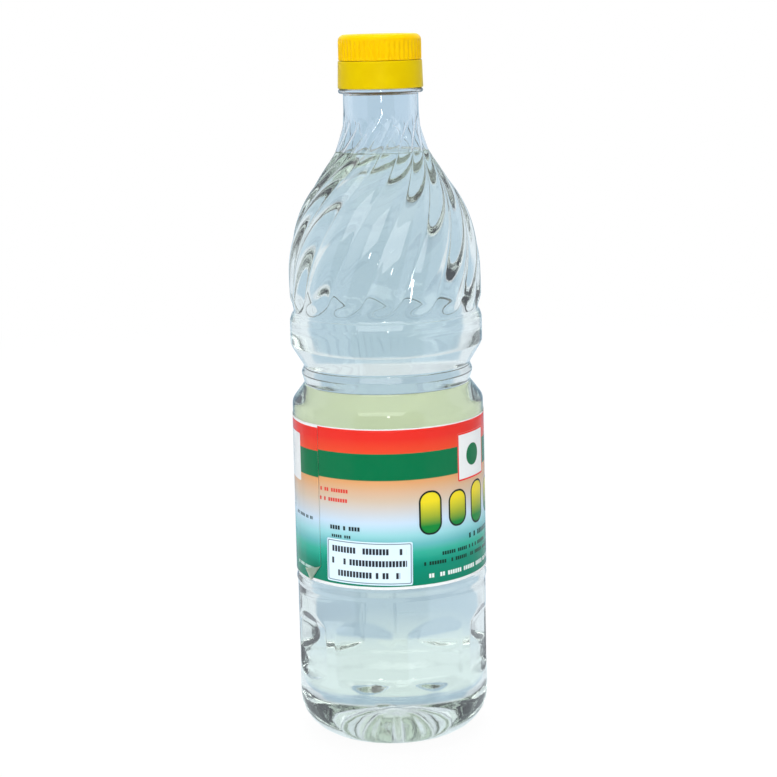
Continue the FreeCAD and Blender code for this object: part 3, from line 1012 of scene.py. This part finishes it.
def makeLabel():
    # film wound once round and over its own start: radius grows by one film in the lap, and
    # beyond the fold line the corner is turned back: d * cos(fold) along, d * sin(fold) out
    shape = labelShape
    radius = bottleShape["radius"] + shape["stand"]
    perDegree = np.radians(radius)
    lap = shape["lapWidth"] / perDegree
    start, end = shape["lapTurn"] - lap, shape["lapTurn"] + 360.0
    closeStart, closeEnd = start + shape["closeTurns"][0], end - shape["closeTurns"][1]
    turn = np.concatenate([np.linspace(start, closeStart, 5)[:-1],
                           np.linspace(closeStart, closeEnd, 200)[:-1], np.linspace(closeEnd, end, 41)])
    rise = np.concatenate([np.linspace(0.0, shape["closeRise"], 21)[:-1],
                           np.linspace(shape["closeRise"], labelHeight, 30)])
    turn, rise = np.meshgrid(turn, rise)
    # distance past the fold line, which crosses the free edge and the lower edge
    along = (turn - end) * perDegree
    normal = unit(np.array([shape["foldUp"], -shape["foldAlong"]]))
    past = np.maximum(along * normal[0] + (rise - shape["foldUp"]) * normal[1], 0.0)
    # the fold is a small round bend, not a crease
    bend, fold = shape["foldBend"], np.radians(shape["foldDegrees"])
    angle = np.minimum(past / bend, fold)
    tail = np.maximum(past - bend * fold, 0.0)
    shift = bend * np.sin(angle) + tail * np.cos(fold) - past
    out = bend * (1.0 - np.cos(angle)) + tail * np.sin(fold)
    place = end + (along + shift * normal[0]) / perDegree
    lift = shape["lapLift"] * smooth((turn - (end - lap - shape["lapSlope"])) / shape["lapSlope"])
    wave = sum(depth * np.sin(np.radians(turn * count + first)) for depth, count, first in shape["waves"])
    outerR = radius + shape["flare"] * (1.0 - rise / labelHeight) + lift + shape["thickness"] + out + wave
    outer = turnedPoint(outerR, place, labelLow[2] + rise + shift * normal[1])
    # thickness along the film's own normal, so that the turned corner keeps it
    film = unit(np.cross(np.gradient(outer, axis=1), np.gradient(outer, axis=0)))
    points, faces = filmBetween(outer, outer - film * shape["thickness"])
    # the print runs slightly downhill, so that it is off by the dip where the film laps
    printed = rise + shape["dip"] * smooth((turn - 180.0) / 120.0)
    marks = {"turn": np.concatenate([turn, turn[::-1]]), "rise": np.concatenate([printed, printed[::-1]])}
    # the outer faces carry the print and all others the plain back
    rows, columns = turn.shape
    painted = np.ones(sum(map(len, faces)))
    painted[:(rows - 1) * (columns - 1)] = 0.0
    films = [printedFilm(), filmBack()]
    makePiece("wrapLabel", (points, faces), films, "label", marks, painted)


stickerShape = {
    "turn": -14.0,
    "width": 36.3,
    "height": 17.6,
    "lean": -0.8,
    "stand": 0.08,
    "thickness": 0.15,
    "corner": 0.7,
}


def makeSticker():
    # rectangle with rounded corners bent round the label: each row is as wide as the corners allow
    shape = stickerShape
    corner, tall = shape["corner"], shape["height"] / 2.0
    bow = corner * (1.0 - np.cos(np.linspace(0.0, np.pi / 2.0, 5)[:-1]))
    up = np.concatenate([bow - tall, np.linspace(corner - tall, tall - corner, 11), (tall - bow)[::-1]])
    inCorner = np.maximum(np.abs(up) - (tall - corner), 0.0)
    reach = shape["width"] / 2.0 - corner + np.sqrt(np.maximum(corner ** 2 - inCorner ** 2, 0.0))
    across = np.linspace(-1.0, 1.0, 49)[None, :] * reach[:, None]
    up = np.broadcast_to(up[:, None], across.shape)
    lean = np.radians(shape["lean"])
    x = across * np.cos(lean) - up * np.sin(lean)
    z = up * np.cos(lean) + across * np.sin(lean) + (stickerLow[2] + stickerHigh[2]) / 2.0
    flare = labelShape["flare"] * (labelHigh[2] - z) / labelHeight
    radius = bottleShape["radius"] + labelShape["stand"] + labelShape["thickness"] + shape["stand"] + flare
    turn = shape["turn"] + np.degrees(x / radius)
    film = filmBetween(turnedPoint(radius + shape["thickness"], turn, z), turnedPoint(radius, turn, z))
    marks = {"across": np.concatenate([across, across[::-1]]), "up": np.concatenate([up, up[::-1]])}
    makePiece("sticker", film, [stickerFilm()], "sticker", marks)


makeLabel()
makeSticker()


white = (1.0, 1.0, 1.0, 1.0)
studio = {
    "floorSize": 40000.0,
    "floorColour": paint(246, 248, 250),
    "floorShade": paint(214, 218, 224),
    "floorCloudSize": 90.0,
    "floorGlow": 0.96,
    "shadowReach": 0.8,
    "airTone": (0.95, 0.97, 1.0, 1.0),
    "worldLevel": 0.32,
    "backTone": (0.45, 0.615, 0.75, 1.0),
    "backEdge": 0.866,
    "backTop": 0.16,
    "panelTone": (0.80, 0.87, 0.94, 1.0),
    "frontTone": (0.10, 0.11, 0.12, 1.0),
    "frontThrough": (0.74, 0.80, 0.81, 1.0),
    "frontEdge": -0.74,
    "topTone": white,
    "topThrough": (0.84, 0.95, 0.92, 1.0),
    "topEdge": 0.7,
    # a painted pool of light on the floor under and just behind the bottle: its middle, stretch, radius
    # and tone
    "paintedPoolMiddle": (0.0, 0.05, 0.0),
    "paintedPoolShape": (1.9, 1.0, 1.0),
    "paintedPoolRadius": 0.095,
    "paintedPoolTone": (0.77, 0.915, 0.92, 1.0),
}


def roomTone(tree, toward):
    # a soft white tent by direction: pale blue sheet behind, white walls, dim opening in front
    east, north, up = (tree.node("ShaderNodeSeparateXYZ", None, {0: toward}, axis) for axis in "XYZ")
    level = (east * east + north * north).sum("SQRT").sum("MAXIMUM", 0.0001)
    behind = north / level
    through = tree.node("ShaderNodeLightPath", out="Is Transmission Ray")
    front = mixed(through, studio["frontTone"], studio["frontThrough"])
    room = mixed(behind.over(studio["frontEdge"], 0.03), front, studio["panelTone"])
    sheet = behind.over(studio["backEdge"], 0.02) * up.under(studio["backTop"], 0.06)
    top = mixed(through, studio["topTone"], studio["topThrough"])
    return mixed(up.over(studio["topEdge"], 0.1), mixed(sheet, room, studio["backTone"]), top)


def rayKinds(tree):
    # camera rays, and all rays that show the background: seen, in gloss or through clear pieces
    seen, glossy, through = (tree.node("ShaderNodeLightPath", out="Is " + kind + " Ray")
                             for kind in ("Camera", "Glossy", "Transmission"))
    return seen, seen.sum("MAXIMUM", glossy).sum("MAXIMUM", through)


def vectorMath(first, operation, second=(0.0, 0.0, 0.0), out="Vector"):
    return first.node("ShaderNodeVectorMath", {"operation": operation}, {0: first, 1: second}, out)


def makeFloor():
    # a plain pale sheet, white to the camera and shaded only near the object; to gloss and clear
    # pieces it glows with the tent's tones, and with a painted pool of light under and just behind the
    # bottle
    size = studio["floorSize"] / 2.0
    corners = np.array([(-1.0, -1.0, 0.0), (1.0, -1.0, 0.0), (1.0, 1.0, 0.0), (-1.0, 1.0, 0.0)])
    mesh = bpy.data.meshes.new("floor")
    mesh.from_pydata((corners * size * mm).tolist(), [], [(0, 1, 2, 3)])
    material, tree = newMaterial("floorSheet")
    cloud = noise(tree, studio["floorCloudSize"]) * 0.03
    pale = mixed(cloud, studio["floorColour"], studio["floorShade"])
    sheet = principled(tree, {"Base Color": pale, "Roughness": 0.8})
    seen, shown = rayKinds(tree)
    # painted pool of light: near the bottle, the floor glows in a paler tone to gloss and clear pieces
    place = tree.node("ShaderNodeTexCoord", out="Object")
    narrow = vectorMath(place, "MULTIPLY", studio["paintedPoolShape"])
    fromPaintedPool = vectorMath(narrow, "DISTANCE", studio["paintedPoolMiddle"], "Value")
    room = mixed(fromPaintedPool.under(studio["paintedPoolRadius"], 0.05), roomTone(tree, place), studio["paintedPoolTone"])
    glow = tree.node("ShaderNodeEmission", None, {"Color": mixed(seen, room, white)})
    away = vectorMath(place, "LENGTH", out="Value").over(studio["shadowReach"], 0.3)
    share = away * (1.0 - studio["floorGlow"]) + studio["floorGlow"]
    finish(tree, mixedShader(shown * share, sheet, glow))
    mesh.materials.append(material)
    floor = bpy.data.objects.new("floor", mesh)
    scene.collection.objects.link(floor)


def makeWorld():
    # white to the camera, plain for light, and the tent for rays off or through the object
    world = bpy.data.worlds.new("studio")
    world.use_nodes = True
    world.node_tree.nodes.clear()
    tree = Value(world.node_tree)
    seen, shown = rayKinds(tree)
    room = roomTone(tree, tree.node("ShaderNodeTexCoord", out="Generated"))
    plain = tree.node("ShaderNodeBackground", None,
                      {"Color": studio["airTone"], "Strength": studio["worldLevel"]})
    tent = tree.node("ShaderNodeBackground", None, {"Color": mixed(seen, room, white)})
    tree.node("ShaderNodeOutputWorld", None, {"Surface": mixedShader(shown, plain, tent)})
    scene.world = world


lampTarget = (0.0, 0.0, 0.15)
lamps = {
    # place, size across and up, power, and whether gloss and clear pieces show it
    "leftSoftbox": ((-0.80, 0.30, 0.28), (0.35, 1.0), 0.3, True),
    "rightSoftbox": ((0.80, 0.30, 0.28), (0.35, 1.0), 0.3, True),
    "keyLamp": ((-0.20, -1.50, 1.05), (1.2, 0.9), 11.5, False),
    "softPanel": ((-0.20, -1.45, 1.05), (1.7, 1.1), 7.0, True),
    "topLamp": ((0.0, -0.05, 1.25), (0.6, 0.6), 9.0, False),
    "backLamp": ((0.0, 1.20, 0.60), (1.6, 1.0), 24.0, False),
    "sparkLamp": ((0.02, -0.98, 0.27), (0.05, 0.09), 0.3, True),
}


def makeLamp(name, place, size, power, shows):
    # a soft rectangular lamp that faces the object
    lamp = bpy.data.lights.new(name, "AREA")
    lamp.shape = "RECTANGLE"
    lamp.size, lamp.size_y = size
    lamp.energy = power
    holder = bpy.data.objects.new(name, lamp)
    aim = Vector(lampTarget) - Vector(place)
    holder.location = place
    holder.rotation_euler = aim.to_track_quat("-Z", "Y").to_euler()
    holder.visible_glossy = shows
    holder.visible_transmission = shows
    scene.collection.objects.link(holder)


view = {
    "distance": 0.7932,
    "height": 0.2963,
    "pitch": 10.94,
    "roll": -1.33,
    "yaw": -0.03,
    "lens": 91.42,
}


def makeCamera():
    # in front of the object, looking down at it: place, then yaw, pitch and roll
    camera = bpy.data.cameras.new("camera")
    camera.sensor_width = 36.0
    camera.lens = view["lens"]
    holder = bpy.data.objects.new("camera", camera)
    place = Matrix.Translation((0.0, -view["distance"], view["height"]))
    yaw = Matrix.Rotation(np.radians(view["yaw"]), 4, "Z")
    tilt = Matrix.Rotation(np.radians(90.0 - view["pitch"]), 4, "X")
    roll = Matrix.Rotation(np.radians(view["roll"]), 4, "Z")
    holder.matrix_world = place @ yaw @ tilt @ roll
    scene.collection.objects.link(holder)
    scene.camera = holder


makeFloor()
makeWorld()
for name, (place, size, power, shows) in lamps.items():
    makeLamp(name, place, size, power, shows)
makeCamera()
print("made the room,", len(lamps), "lamps and the camera")

scene.view_settings.view_transform = "Standard"
scene.cycles.max_bounces = 32  # light crosses the wall and the drink many times
scene.cycles.transmission_bounces = 32
